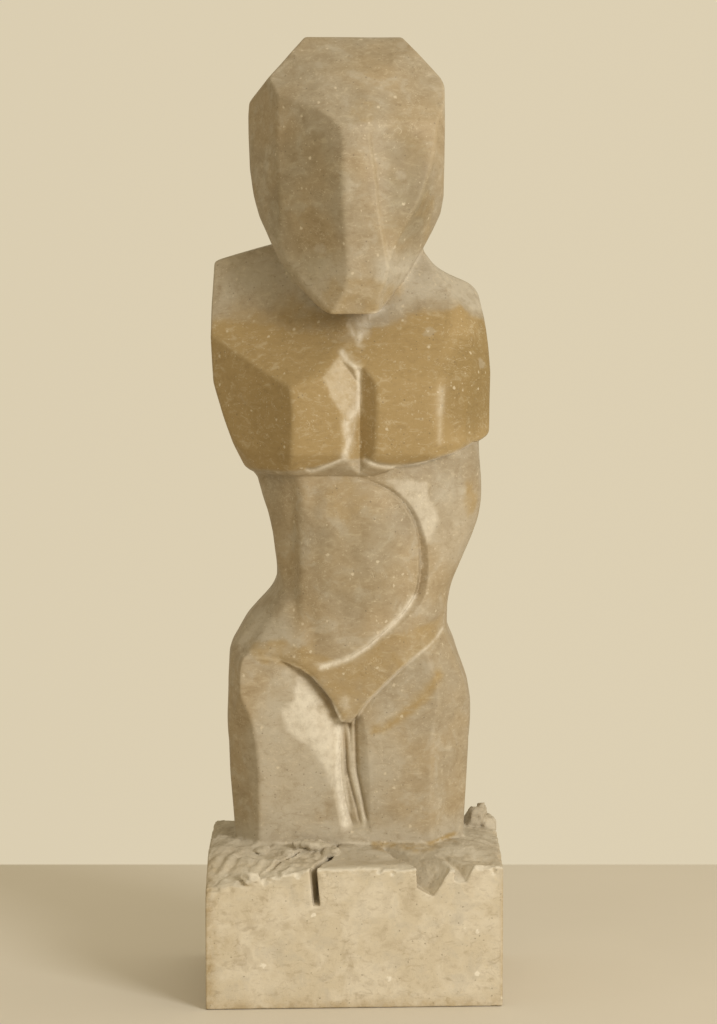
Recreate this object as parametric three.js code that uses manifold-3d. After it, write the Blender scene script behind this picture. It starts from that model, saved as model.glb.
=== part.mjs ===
// A stone figure carved together with its plinth out of one block of fossil limestone:
// faceted head, armless torso, thighs cut at the knee, rough-topped plinth.
// Millimetres, +Z up. The origin is the middle of the plinth's underside. The front faces -Y.
import * as THREE from 'three';
import { mergeVertices } from 'three/addons/utils/BufferGeometryUtils.js';
import Module from 'manifold-3d';

const wasm = await Module();
wasm.setup();

// Driving sizes
const plinthWidth = 150;
const plinthDepth = 130;
const plinthHeight = 73;
const plinthSkew = 8; // the front face was sawn out of square: its right end stands back
const figureHeight = 415; // above the plinth
const kerfWidth = 3.6; // diamond blade
const kerfDepth = 22;
const slotWidth = 6.5;
const slotDepth = 19;
const notchWidth = 7.5;
const notchDepth = 11;
const rootDepth = 12; // how far the thighs run down into the plinth

// The figure's own numbers are written for a height of 415 and go in as shares of it
const share = figureHeight / 415;
const far = 400 * share;

const stoneMaterial = new THREE.MeshStandardMaterial({
  color: 0xb59c73,
  roughness: 0.72,
  metalness: 0,
});

// Helpers
function toSolid(geometry) {
  geometry.deleteAttribute('normal');
  geometry.deleteAttribute('uv');
  const merged = mergeVertices(geometry.index ? geometry.toNonIndexed() : geometry, 1e-4);
  return new wasm.Manifold(
    new wasm.Mesh({
      numProp: 3,
      vertProperties: Float32Array.from(merged.attributes.position.array),
      triVerts: Uint32Array.from(merged.index.array),
    }),
  );
}

function outward(azimuth) {
  const turn = THREE.MathUtils.degToRad(azimuth);
  return new THREE.Vector3(Math.sin(turn), -Math.cos(turn), 0);
}

// One saw pass: everything nearer to the axis than the profile, seen from the side.
// Azimuth 0 faces the front, 90 the viewer's right. A profile is [height, distance] pairs.
function sawPass(azimuth, bottom, top, profile) {
  const inside = profile.filter(([height]) => height > bottom && height < top);
  const outline = new THREE.Shape([
    new THREE.Vector2(-far, bottom * share),
    new THREE.Vector2(profile[0][1] * share, bottom * share),
    ...inside.map(([height, distance]) => new THREE.Vector2(distance * share, height * share)),
    new THREE.Vector2(profile.at(-1)[1] * share, top * share),
    new THREE.Vector2(-far, top * share),
  ]);
  const geometry = new THREE.ExtrudeGeometry(outline, { depth: 2 * far, bevelEnabled: false });
  const normal = outward(azimuth);
  const up = new THREE.Vector3(0, 0, 1);
  const along = new THREE.Vector3().crossVectors(normal, up);
  geometry.translate(0, 0, -far);
  geometry.applyMatrix4(new THREE.Matrix4().makeBasis(normal, up, along));
  geometry.translate(0, 0, plinthHeight);
  return toSolid(geometry);
}

function sawnBlock(bottom, top, passes) {
  return passes
    .map(([azimuth, profile]) => sawPass(azimuth, bottom, top, profile))
    .reduce((block, pass) => block.intersect(pass));
}

// A shape drawn on the front, cut straight through from front to back
function frontOutline(points) {
  const outline = new THREE.Shape(points.map(([x, h]) => new THREE.Vector2(x * share, h * share)));
  const geometry = new THREE.ExtrudeGeometry(outline, { depth: 2 * far, bevelEnabled: false });
  geometry.rotateX(Math.PI / 2);
  geometry.translate(0, far, plinthHeight);
  return toSolid(geometry);
}

// A flat facet through a point: the stone on the outer side of it goes
function facetWaste(point, normal, size) {
  const geometry = new THREE.BoxGeometry(size * share, size * share, size * share);
  geometry.translate(0, 0, (size / 2) * share);
  const direction = new THREE.Vector3(...normal).normalize();
  const turn = new THREE.Quaternion().setFromUnitVectors(new THREE.Vector3(0, 0, 1), direction);
  geometry.applyQuaternion(turn);
  geometry.translate(point[0] * share, point[1] * share, point[2] * share + plinthHeight);
  return toSolid(geometry);
}

// A round-bottomed groove along a curve of [x, y, height] points
function groove(points, radius) {
  const section = new THREE.Shape();
  section.absarc(0, 0, radius * share, 0, 2 * Math.PI);
  const curve = new THREE.CatmullRomCurve3(
    points.map(([x, y, h]) => new THREE.Vector3(x * share, y * share, h * share + plinthHeight)),
  );
  const steps = 3 * (points.length - 1);
  return toSolid(
    new THREE.ExtrudeGeometry(section, { extrudePath: curve, steps, curveSegments: 4, bevelEnabled: false }),
  );
}

// Head: a faceted block with a brow, a straight nose strip and a small chin, no features cut
const headBottom = 277;
const headTop = 415;
const head = sawnBlock(headBottom, headTop, [
  [-90, [[277, 15], [284, 22.3], [289, 27.4], [295, 32.5], [303, 37.7], [312, 42.2], [324, 48], [335, 51.2],
    [348, 53.3], [366, 54], [376, 54], [382, 53.6], [387, 49.6], [412, 27.6], [415, 25.2]]],
  [-25, [[366, 67], [379, 56], [388, 48.4], [415, 25.4]]],
  [90, [[277, 11], [283, 16.8], [291, 22.9], [302, 30.8], [318, 39.7], [326, 43.4], [335, 44.9], [390, 45.3],
    [394, 43.5], [415, 24]]],
  [-38, [[277, 48.8], [289, 48.4], [297, 49.2], [332, 53.9], [364, 52.6], [374, 53], [415, 54]]],
  [0, [[277, 53], [287, 57], [296, 60], [332, 64], [366, 62.3], [371, 61.2], [397, 37], [415, 8]]],
  [18, [[277, 52.5], [290, 60], [299, 62.5], [326, 64.4], [342, 62.5], [364, 59.8], [373, 58], [388, 45.6],
    [415, 22]]],
  [66, [[277, 31], [290, 36], [299, 39.8], [312, 44], [325, 49.6], [336, 53.2], [350, 56], [366, 57.2],
    [385, 57], [402, 48], [415, 36]]],
  [-66, [[277, 32], [281, 34.5], [289, 39.1], [295, 42.1], [303, 46.3], [313, 49.2], [340, 50.4],
    [415, 50.4]]],
  [-135, [[277, 18], [292, 34], [310, 48], [335, 56], [385, 56], [415, 36]]],
  [135, [[277, 18], [292, 32], [310, 44], [335, 50], [385, 51], [415, 34]]],
  [180, [[277, 12], [292, 30], [317, 40], [366, 43], [397, 37], [415, 20]]],
]).subtract(facetWaste([0, -50, 277], [0, 0.34, -1], 120));

const neck = sawnBlock(262, 312, [
  [-90, [[262, 34], [285, 30], [312, 30]]],
  [90, [[262, 32], [285, 27], [312, 27]]],
  [0, [[262, 18], [288, 12], [312, 14]]],
  [-45, [[262, 30], [285, 25], [312, 26]]],
  [45, [[262, 30], [285, 24], [312, 25]]],
  [180, [[262, 38], [290, 33], [312, 36]]],
  [-135, [[262, 42], [312, 38]]],
  [135, [[262, 40], [312, 36]]],
]);

// Chest and the shoulders, cut off short: two square pectoral blocks under a sloping collar
const chestBottom = 194;
const chestTop = 314;
const sternumX = 2.5;
const sternumDepth = 9.5;
const chestFront = 45.5;
const chest = sawnBlock(chestBottom, chestTop, [
  [-90, [[194, 51.5], [196, 56.2], [209, 61.9], [225, 67.6], [240, 72.3], [263, 73.8], [281, 73.3],
    [301, 72.1], [309.5, 42.7], [314, 30]]],
  [90, [[194, 8], [198.5, 20], [203, 43.7], [206, 54], [210.6, 61.2], [213, 68.5], [246, 69.3], [258.6, 68.3],
    [273, 66.2], [285, 63.4], [290, 59.2], [294, 48.6], [298.5, 41.4], [306, 35.5], [314, 32.5]]],
  [0, [[194, 34], [199, 39.5], [206, 44.5], [228, chestFront], [241, 45], [245, 43.5], [270, 26], [293, 10],
    [314, -6]]],
  [-45, [[194, 46], [197, 50], [206, 53.7], [226, 54.1], [243, 54.6], [314, 56]]],
  [-20, [[194, 60], [232, 60.5], [239.5, 53.4], [252.4, 40.6], [263, 30.2], [275, 23], [301, 10], [314, 2]]],
  [-68, [[194, 52], [209, 62], [225, 68], [240, 70.5], [263, 71], [301, 66], [314, 48]]],
  [30, [[194, 50], [205, 58], [211, 59.6], [244, 59.8], [248, 58], [262, 51], [285, 39],
    [298, 29], [314, 17]]],
  [62, [[194, 56], [206, 64], [211, 66], [246, 67.5], [262, 64], [280, 55], [290, 46], [306, 31], [314, 26]]],
  [180, [[194, 33], [210, 37], [240, 41], [270, 40], [290, 36], [301, 33], [309, 27], [314, 22]]],
  [-142, [[194, 56], [225, 66], [270, 69], [301, 66], [314, 42]]],
  [142, [[194, 60], [225, 65], [262, 64], [285, 54], [300, 40], [314, 32]]],
]);
const sternumCut = new THREE.ExtrudeGeometry(
  new THREE.Shape([
    new THREE.Vector2(sternumX * share, -(chestFront - sternumDepth) * share),
    new THREE.Vector2((sternumX - 9.5) * share, -(chestFront + 1) * share),
    new THREE.Vector2((sternumX + 10) * share, -(chestFront + 1) * share),
  ]),
  { depth: 90 * share, bevelEnabled: false },
);
sternumCut.translate(0, 0, (chestBottom - 10) * share + plinthHeight);
const sternumFacet = facetWaste([-10.5, -chestFront, 234], [0.42, -0.86, 0.29], 60)
  .intersect(sawPass(90, 200, 262, [[200, sternumX + 0.2], [262, sternumX + 0.2]]));

// Trunk, narrow at the left waist and wide at the right flank
const trunkTop = 216;
const trunk = sawnBlock(96, trunkTop, [
  [-90, [[96, 38], [139, 37.9], [150, 40.3], [162, 41.8], [173.5, 44.5], [182, 47.6],
    [192, 50.2], [216, 51]]],
  [90, [[96, 45.3], [116, 45.3], [124.6, 46.3], [133, 48.5], [144, 53.1], [158.6, 59.5], [169, 63.7],
    [180, 65.2], [190.5, 65.1], [208, 63.4], [216, 60]]],
  [-50, [[96, 38], [139, 38], [160, 39.5], [190, 43], [216, 44]]],
  [0, [[96, 25], [112, 27.5], [130, 28.5], [160, 29.5], [190, 33], [216, 34]]],
  [22, [[96, 31], [112, 34], [130, 35.5], [165, 38.5], [190, 40.8], [216, 41]]],
  [42, [[96, 40], [120, 40.5], [144, 44.5], [160, 46.2], [180, 47.2], [216, 47.5]]],
  [66, [[96, 43], [116, 43.3], [133, 46.5], [144, 51], [160, 56.5], [180, 60.5], [216, 60]]],
  [180, [[96, 38], [125, 33], [155, 31], [180, 32.5], [200, 33.5], [216, 33.5]]],
  [-140, [[96, 48], [140, 44], [165, 46], [200, 52], [216, 52]]],
  [140, [[96, 52], [125, 47], [155, 52], [180, 56], [216, 57]]],
]);

// Belly: a raised plate, straight on the left and ending in one sweeping arc on the right
const bellyArc = [[2.5, 193], [9.7, 190.3], [17, 186.7], [23.3, 181.5], [28.3, 174.3], [31.5, 165.8],
  [33, 154], [32.6, 141], [30, 131.5], [23, 122], [12.8, 112.2], [4, 105], [-5, 100], [-17, 96]];
const belly = frontOutline([[-17, 200], ...bellyArc, [-31, 92], [-50, 92], [-50, 200]])
  .intersect(sawnBlock(88, 200, [
    [0, [[88, 22], [96, 26.5], [103, 30], [120, 33.6], [142, 36.2], [165, 36.4], [188, 35],
       [196, 33], [200, 32]]],
    [-24, [[88, 31], [105, 34], [120, 36.5], [142, 38.4], [165, 38.6], [190, 37.5], [200, 36]]],
    [-68, [[88, 36], [120, 37.8], [145, 37.6], [185, 39.4], [200, 40]]],
    [20, [[88, 30], [108, 33], [142, 37.4], [165, 37.4], [188, 36.8], [200, 35.5]]],
    [180, [[88, 0], [200, 0]]],
  ]));

// Hips: everything above the groin lines, with the lower belly between the thighs
const hips = sawnBlock(40, 139, [
  [-90, [[40, 64], [62, 64.4], [86.5, 63.9], [100.5, 63.3], [106, 62.2], [111, 59.6], [118.6, 55.3],
    [126, 48.4], [133.5, 41], [139, 37.5]]],
  [90, [[40, 57.5], [62, 58.5], [74.5, 58.5], [85, 57], [95, 53.3], [104, 50.1], [112, 45.3], [139, 45.3]]],
  [0, [[40, 8], [57, 18], [64, 23], [78, 26.5], [100, 28], [120, 28.4], [139, 28]]],
  [-22, [[40, 34], [78, 42], [95, 45], [104, 43.5], [112, 40], [120, 36.5], [139, 34]]],
  [-50, [[40, 48], [78, 58], [95, 60], [104, 57.5], [111, 53], [118, 48], [126, 42.5], [133, 38],
    [139, 36]]],
  [-70, [[40, 56], [60, 63], [96, 63.6], [101, 62.6], [108, 58.5], [118.6, 51.5], [126, 45], [139, 36]]],
  [25, [[40, 26], [78, 34], [104, 35.5], [139, 36]]],
  [50, [[40, 40], [77, 47], [88, 47], [97, 44.5], [106, 42], [114, 40.5], [139, 43]]],
  [180, [[40, 42], [62, 44], [84, 46], [104, 44], [122, 37], [139, 32]]],
  [-146, [[40, 60], [84, 62], [106, 58], [139, 42]]],
  [146, [[40, 57], [84, 58], [106, 53], [139, 46]]],
]);

const grownIn = -rootDepth / share;
const leftThigh = frontOutline([[-80, grownIn], [1, grownIn], [0, 60], [-4, 66], [-9, 72], [-12.2, 78.5],
  [-16.4, 84], [-21.6, 90], [-27.8, 95], [-37.3, 98.3], [-47.7, 100.6], [-54, 101.2], [-60, 102], [-80, 102]])
  .intersect(sawnBlock(grownIn, 110, [
    [-90, [[-12, 61.5], [4.5, 62], [18, 63], [40, 64.6], [62, 64.9], [74, 64.7], [100.5, 63.3], [110, 60]]],
    [0, [[-12, 20], [20, 21.5], [55, 24.5], [84, 27.3], [96, 28], [110, 26]]],
    [-50, [[-12, 50.3], [39, 52], [55, 53.7], [64, 55], [73, 57.6], [82, 61],
       [90, 62.6], [102, 60.5], [110, 54]]],
    [-72, [[-12, 60.8], [60, 63.2], [96, 63.4], [110, 58]]],
    [180, [[-12, 39], [30, 40.5], [60, 43], [88, 43], [110, 38]]],
    [-146, [[-12, 60], [60, 61], [110, 52]]],
  ]))
  .subtract(facetWaste([-26, -26.6, 70], [0.3, -0.94, 0.12], 90)
    .intersect(frontOutline([[-60, 60], [-60, 112], [0, 112], [0, 12], [-13, 24], [-20, 42], [-32, 56]])));
const rightThigh = frontOutline([[0, grownIn], [80, grownIn], [80, 112], [46, 113], [40, 107.5], [30.7, 100.4],
  [22.2, 93], [13, 84], [6.6, 77.5], [1.4, 69], [-1.8, 63], [-1.8, 55]])
  .intersect(sawnBlock(grownIn, 118, [
    [90, [[-12, 55.8], [13, 56.7], [30, 57.7], [52, 58.7], [62, 58.9], [74.5, 58.7], [85, 57], [95, 53.3],
      [104, 50.1], [112, 45.3], [118, 44]]],
    [0, [[-12, 20], [20, 21.5], [55, 24], [80, 26.5], [98, 28], [118, 28]]],
    [22, [[-12, 34.5], [20, 35.5], [60, 38.5], [80, 40.5], [96, 40], [118, 37]]],
    [50, [[-12, 43.4], [40, 44.6], [65, 46.6], [77, 48.8], [88, 48.6], [97, 46], [106, 43.5], [118, 41]]],
    [180, [[-12, 39], [30, 40.5], [60, 43], [88, 43], [118, 36]]],
    [146, [[-12, 56], [60, 57], [118, 48]]],
  ]));

// The gap between the thighs, front and back, and the hollow of the spine
const legGapDepth = 11;
const legGap = new THREE.ExtrudeGeometry(
  new THREE.Shape([
    new THREE.Vector2(-1.5 * share, -legGapDepth * share),
    new THREE.Vector2(1.5 * share, -(legGapDepth + 0.5) * share),
    new THREE.Vector2(12 * share, -30 * share),
    new THREE.Vector2(-13 * share, -30 * share),
  ]),
  { depth: (figureHeight * 80) / 415, bevelEnabled: false },
);
legGap.translate(0, 0, plinthHeight);
const backGap = groove([[-1, 49, 4], [-1, 49, 40], [-1, 50, 80], [-1, 48, 102]], 6);
const spine = groove([[-1, 42, 118], [-1, 36, 150], [-2, 41, 190], [-2, 47, 232], [-2, 46, 262]], 5);
const underPecs = groove([[6, -42, 199.5], [20, -41.5, 198.4], [31, -41, 199.6], [44, -38, 202.6],
  [54, -34, 205.8]], 1.6);
const groinLeft = groove([[-57, -17, 101], [-47, -25.5, 100.6], [-37, -28, 98.4], [-27.5, -28.4, 95],
  [-21.4, -27.6, 90], [-16.2, -27, 83.4], [-12, -26, 77.5], [-8, -24, 70]], 1.9);
const groinRight = groove([[45, -18, 113.5], [40, -25, 108], [30.7, -28, 100.8], [22.2, -28.2, 93.4],
  [13, -27, 84.2], [6.6, -26, 77.6], [1.4, -23, 69]], 1.8);

const legs = leftThigh.add(rightThigh).subtract(toSolid(legGap));
const figure = legs.add(hips).add(trunk).add(belly).add(chest).add(neck).add(head)
  .subtract(toSolid(sternumCut))
  .subtract(sternumFacet)
  .subtract(underPecs)
  .subtract(groinLeft)
  .subtract(groinRight)
  .subtract(backGap)
  .subtract(spine);

// Plinth: the foot of the block, sawn on its sides, with a broken top and saw kerfs left in it
const halfWidth = plinthWidth / 2;
const halfDepth = plinthDepth / 2;
const brokenEdge = 9; // how far down the broken front edge falls
const lowTop = plinthHeight - 3;

const plinthBlock = new THREE.ExtrudeGeometry(
  new THREE.Shape([
    new THREE.Vector2(-halfWidth, -halfDepth),
    new THREE.Vector2(halfWidth, -halfDepth + plinthSkew),
    new THREE.Vector2(halfWidth, halfDepth),
    new THREE.Vector2(-halfWidth, halfDepth),
  ]),
  { depth: plinthHeight, bevelEnabled: false },
);

// A flat break across the top: [x, y] of its middle, its fall to the front and to the left
function breakPlane(x, y, fallForward, fallLeft, width, depth) {
  const geometry = new THREE.BoxGeometry(width, depth, brokenEdge * 4);
  geometry.translate(0, 0, brokenEdge * 2);
  geometry.rotateX(fallForward);
  geometry.rotateY(-fallLeft);
  geometry.translate(x, y, lowTop);
  return toSolid(geometry);
}

// A channel let down into the top: a box with its length turned by an angle
function topSlot(x, y, width, length, depth, turn) {
  const geometry = new THREE.BoxGeometry(width, length, 2 * depth);
  geometry.rotateZ(turn);
  geometry.translate(x, y, plinthHeight);
  return toSolid(geometry);
}

// A lump of stone left standing
function lump(x, y, z, sizeX, sizeY, sizeZ, lean) {
  const geometry = new THREE.IcosahedronGeometry(0.5, 1);
  geometry.scale(sizeX, sizeY, sizeZ);
  geometry.rotateY(lean);
  geometry.translate(x, y, z);
  return toSolid(geometry);
}

const kerfX = -halfWidth * 0.268;
const slotX = halfWidth * 0.475;
const notchX = halfWidth * 0.74;
const plinth = [
  breakPlane(-halfWidth * 0.62, -halfDepth * 0.86, 0.3, 0.06, plinthWidth * 0.42, plinthDepth * 0.24),
  breakPlane(-halfWidth * 0.05, -halfDepth * 0.93, 0.24, -0.03, plinthWidth * 0.3, plinthDepth * 0.2),
  breakPlane(halfWidth * 0.3, -halfDepth * 0.84, 0.14, 0.05, plinthWidth * 0.32, plinthDepth * 0.3),
  breakPlane(halfWidth * 0.82, -halfDepth * 0.7, 0.1, -0.05, plinthWidth * 0.3, plinthDepth * 0.5),
  topSlot(kerfX, -halfDepth, kerfWidth, plinthDepth * 0.34, kerfDepth, -0.06),
  topSlot(kerfX + 9, -halfDepth * 0.56, kerfWidth, plinthDepth * 0.2, kerfDepth * 0.5, -0.62),
  topSlot(slotX, -halfDepth, slotWidth, plinthDepth * 0.2, slotDepth, 0.05),
  topSlot(slotX - 10, -halfDepth * 0.66, slotWidth * 0.7, plinthDepth * 0.34, slotDepth * 0.45, 0.66),
  topSlot(notchX, -halfDepth + plinthSkew, notchWidth, plinthDepth * 0.12, notchDepth, 0.1),
].reduce((block, waste) => block.subtract(waste), toSolid(plinthBlock));

const rubble = [
  lump(halfWidth * 0.86, halfDepth * 0.58, plinthHeight + 3, 11, 13, 24, 0.45),
  lump(halfWidth * 0.7, halfDepth * 0.5, plinthHeight - 1, 13, 15, 13, -0.3),
  lump(-halfWidth * 0.3, -halfDepth * 0.47, plinthHeight - 1, 16, 9, 8, 0.1),
  lump(-halfWidth * 0.12, -halfDepth * 0.52, plinthHeight - 1, 9, 8, 8, -0.2),
  lump(-halfWidth * 0.66, -halfDepth * 0.5, plinthHeight - 2, 7, 8, 8, 0.2),
  lump(-halfWidth * 0.7, -halfDepth * 0.9, plinthHeight - 7, 8, 9, 7, 0.1),
];

const stone = rubble.reduce((block, piece) => block.add(piece), plinth).add(figure);

// Assembly
function toMesh(name, solid, material) {
  const mesh = solid.getMesh();
  const geometry = new THREE.BufferGeometry();
  geometry.setAttribute('position', new THREE.BufferAttribute(Float32Array.from(mesh.vertProperties), 3));
  geometry.setIndex(new THREE.BufferAttribute(Uint32Array.from(mesh.triVerts), 1));
  const result = new THREE.Mesh(geometry, material);
  result.name = name;
  return result;
}

const carving = new THREE.Group();
carving.name = 'carving';
carving.add(toMesh('stone_torso', stone, stoneMaterial));

export default carving;
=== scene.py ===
import math

import bpy
import numpy as np
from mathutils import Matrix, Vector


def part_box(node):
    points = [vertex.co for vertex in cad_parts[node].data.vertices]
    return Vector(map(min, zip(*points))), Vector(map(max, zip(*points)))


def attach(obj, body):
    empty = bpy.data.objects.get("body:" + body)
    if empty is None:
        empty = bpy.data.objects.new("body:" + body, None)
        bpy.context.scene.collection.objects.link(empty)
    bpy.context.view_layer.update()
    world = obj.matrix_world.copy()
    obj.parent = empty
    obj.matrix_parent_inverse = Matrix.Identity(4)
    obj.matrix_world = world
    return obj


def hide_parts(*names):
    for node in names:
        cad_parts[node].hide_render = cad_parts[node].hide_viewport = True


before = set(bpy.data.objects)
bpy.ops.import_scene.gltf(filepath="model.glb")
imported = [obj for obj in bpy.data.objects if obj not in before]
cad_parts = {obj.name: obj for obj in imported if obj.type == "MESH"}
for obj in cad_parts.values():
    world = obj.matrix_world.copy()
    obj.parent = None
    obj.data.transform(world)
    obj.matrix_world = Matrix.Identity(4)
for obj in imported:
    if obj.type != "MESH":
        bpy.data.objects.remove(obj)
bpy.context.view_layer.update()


# Head
# A faceted block with a brow, a straight strip down the middle and a small chin, no
# features cut. Each flat was sawn and rubbed down, so its arrises are slightly worn.
def smooth(low, high, value):
    share = np.clip((value - low) / (high - low), 0, 1)
    return share * share * (3 - 2 * share)


def rub(one, other, wear):
    """Two flats meet in an arris worn round by that width."""
    return np.maximum(one, other) + np.maximum(wear - np.abs(one - other), 0) ** 2 / (4 * wear)


def grow(one, other, fillet):
    """Two masses of the same stone run into each other over that width."""
    return np.minimum(one, other) - np.maximum(fillet - np.abs(one - other), 0) ** 2 / (4 * fillet)


profile_step = 0.5


def sawn(azimuth, profile, rounding):
    """One flat, or a row of flats, seen from the side: [height, distance] pairs."""
    heights, distances = np.array(profile, float).T
    spare = 4 * rounding + 9
    at = np.arange(heights[0] - spare, heights[-1] + spare, profile_step)
    line = np.interp(at, heights, distances)
    lead_in = (distances[1] - distances[0]) / (heights[1] - heights[0])
    lead_out = (distances[-1] - distances[-2]) / (heights[-1] - heights[-2])
    line = line + np.minimum(at - heights[0], 0) * lead_in + np.maximum(at - heights[-1], 0) * lead_out
    half = round(3 * rounding / profile_step)
    reach = np.arange(-half, half + 1) * profile_step
    weight = np.exp(-0.5 * (reach / rounding) ** 2)
    line = np.convolve(np.pad(line, len(reach) // 2, mode="edge"), weight / weight.sum(), mode="valid")
    lean = 1 / np.sqrt(1 + np.gradient(line, profile_step) ** 2)
    turn = math.radians(azimuth)
    return math.sin(turn), -math.cos(turn), at[0], line * lean, lean


def sawn_block(x, y, h, bottom, top, flats, wear):
    distance = rub(h - top, bottom - h, wear)
    for across, forward, start, line, lean in flats:
        place = np.clip((h - start) / profile_step, 0, len(line) - 1.001)
        row = place.astype(np.int32)
        part = place - row
        reach = line[row] + (line[row + 1] - line[row]) * part
        scale = lean[row] + (lean[row + 1] - lean[row]) * part
        distance = rub(distance, (across * x + forward * y) * scale - reach, wear)
    return distance


def near(x, y, h, bottom, top, mass):
    """Works a mass out only where its heights are near, and calls the rest far."""
    distance = np.maximum(np.maximum(h - top, bottom - h), 14.0)
    inside = (h > bottom - 14) & (h < top + 14)
    distance[inside] = mass(x[inside], y[inside], h[inside])
    return distance


head_bottom, head_top = 277, 415
head_wear = 1.1
head_flats = [
    sawn(-90, [[277, 15], [284, 22.3], [289, 27.4], [295, 32.5], [303, 37.7], [312, 42.2], [324, 48],
               [335, 51.2], [348, 53.3], [366, 54], [376, 54], [382, 53.6], [387, 49.6], [412, 27.6],
               [415, 25.2]], 0.8),
    sawn(-25, [[366, 67], [379, 56], [388, 48.4], [415, 25.4]], 0.4),
    sawn(90, [[277, 11], [283, 16.8], [291, 22.9], [302, 30.8], [318, 39.7], [326, 43.4], [335, 44.9],
              [390, 45.3], [394, 43.5], [415, 24]], 0.9),
    sawn(-38, [[277, 48.8], [289, 48.4], [297, 49.2], [332, 53.9], [364, 52.6], [374, 53],
               [415, 54]], 0.4),
    sawn(0, [[277, 53], [287, 57], [296, 60], [332, 64], [366, 62.3], [371, 61.2], [397, 37], [415, 8]], 0.5),
    sawn(18, [[277, 52.5], [290, 60], [299, 62.5], [326, 64.4], [342, 62.5], [364, 59.8], [373, 58],
              [388, 45.6], [415, 22]], 0.5),
    sawn(66, [[277, 31], [290, 36], [299, 39.8], [312, 44], [325, 49.6], [336, 53.2], [350, 56], [366, 57.2],
              [385, 57], [402, 48], [415, 36]], 0.9),
    sawn(-66, [[277, 32], [281, 34.5], [289, 39.1], [295, 42.1], [303, 46.3], [313, 49.2], [340, 50.4],
               [415, 50.4]], 0.9),
    sawn(-135, [[277, 18], [292, 34], [310, 48], [335, 56], [385, 56], [415, 36]], 2),
    sawn(135, [[277, 18], [292, 32], [310, 44], [335, 50], [385, 51], [415, 34]], 2),
    sawn(180, [[277, 12], [292, 30], [317, 40], [366, 43], [397, 37], [415, 20]], 2),
]
strip_edge = [[297, 19.5], [302, 16.6], [324, 12.6], [347, 10.2], [363, 7.7]]
strip_relief = 1.6
chin_slope = 0.34


def head(x, y, h):
    block = sawn_block(x, y, h, head_bottom, head_top, head_flats, head_wear)
    edge_h, edge_x = np.array(strip_edge, float).T
    past_strip = x - np.interp(h, edge_h, edge_x)
    let_back = strip_relief * smooth(-0.6, 1.0, past_strip) * smooth(36, 22, x)
    block = block + let_back * smooth(296, 301, h) * smooth(370, 362, h) * smooth(-20, -30, y)
    under_chin = (chin_slope * (y + 50) - (h - head_bottom)) / math.hypot(chin_slope, 1)
    return rub(block, under_chin, head_wear)


# Neck
# A short stump of the same stone, wider than it is deep and mostly hidden by the chin.
# It was only roughed out with the saw, so it is rounded where the head and collar meet it.
neck_bottom, neck_top = 262, 312
neck_wear = 3.0
neck_flats = [
    sawn(-90, [[262, 34], [285, 30], [312, 30]], 2),
    sawn(90, [[262, 32], [285, 27], [312, 27]], 2),
    sawn(0, [[262, 18], [288, 12], [312, 14]], 2),
    sawn(-45, [[262, 30], [285, 25], [312, 26]], 2),
    sawn(45, [[262, 30], [285, 24], [312, 25]], 2),
    sawn(180, [[262, 38], [290, 33], [312, 36]], 2),
    sawn(-135, [[262, 42], [312, 38]], 2),
    sawn(135, [[262, 40], [312, 36]], 2),
]


def neck(x, y, h):
    return sawn_block(x, y, h, neck_bottom, neck_top, neck_flats, neck_wear)


# Chest and shoulders
# Two square pectoral blocks under a sloping collar, the arms cut off short. The V between
# the blocks was sawn in from the front and its left lip rasped back to a slanting facet.
chest_bottom, chest_top = 194, 314
chest_wear = 1.2
chest_front = 45.5
sternum_x = 2.5
sternum_depth = 9.5
sternum_depth_high = 7.2
v_top = 250
lip_foot, lip_head = 200, 257
chest_flats = [
    sawn(-90, [[194, 51.5], [196, 56.2], [209, 61.9], [225, 67.6], [240, 72.3], [263, 73.8], [281, 73.3],
               [301, 72.1], [309.5, 42.7], [314, 30]], 0.9),
    sawn(90, [[194, 8], [198.5, 20], [203, 43.7], [206, 54], [210.6, 61.2], [213, 68.5], [246, 69.3],
              [258.6, 68.3], [273, 66.2], [285, 63.4], [290, 59.2], [294, 48.6], [298.5, 41.4], [306, 35.5],
              [314, 32.5]], 1.5),
    sawn(0, [[194, 34], [199, 39.5], [206, 44.5], [228, chest_front], [241, 45], [245, 43.5], [270, 26],
             [293, 10], [314, -6]], 0.8),
    sawn(-45, [[194, 46], [197, 50], [206, 53.7], [226, 54.1], [243, 54.6], [314, 56]], 0.8),
    sawn(-20, [[194, 60], [232, 60.5], [239.5, 53.4], [252.4, 40.6], [263, 30.2], [275, 23], [301, 10],
               [314, 2]], 0.8),
    sawn(-68, [[194, 52], [209, 62], [225, 68], [240, 70.5], [263, 71], [301, 66], [314, 48]], 1.5),
    sawn(15, [[194, 60], [206, 54.0], [243, 54.0], [250, 60]], 0.8),
    sawn(30, [[194, 50], [205, 58], [211, 59.6], [244, 59.8], [248, 58], [262, 51], [285, 39], [298, 29],
              [314, 17]], 0.9),
    sawn(62, [[194, 56], [206, 64], [211, 66], [246, 67.5], [262, 64], [280, 55], [290, 46], [306, 31],
              [314, 26]], 1.2),
    sawn(180, [[194, 33], [210, 37], [240, 41], [270, 40], [290, 36], [301, 33], [309, 27], [314, 22]], 2),
    sawn(-142, [[194, 56], [225, 66], [270, 69], [301, 66], [314, 42]], 2),
    sawn(142, [[194, 60], [225, 65], [262, 64], [285, 54], [300, 40], [314, 32]], 2),
]


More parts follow.
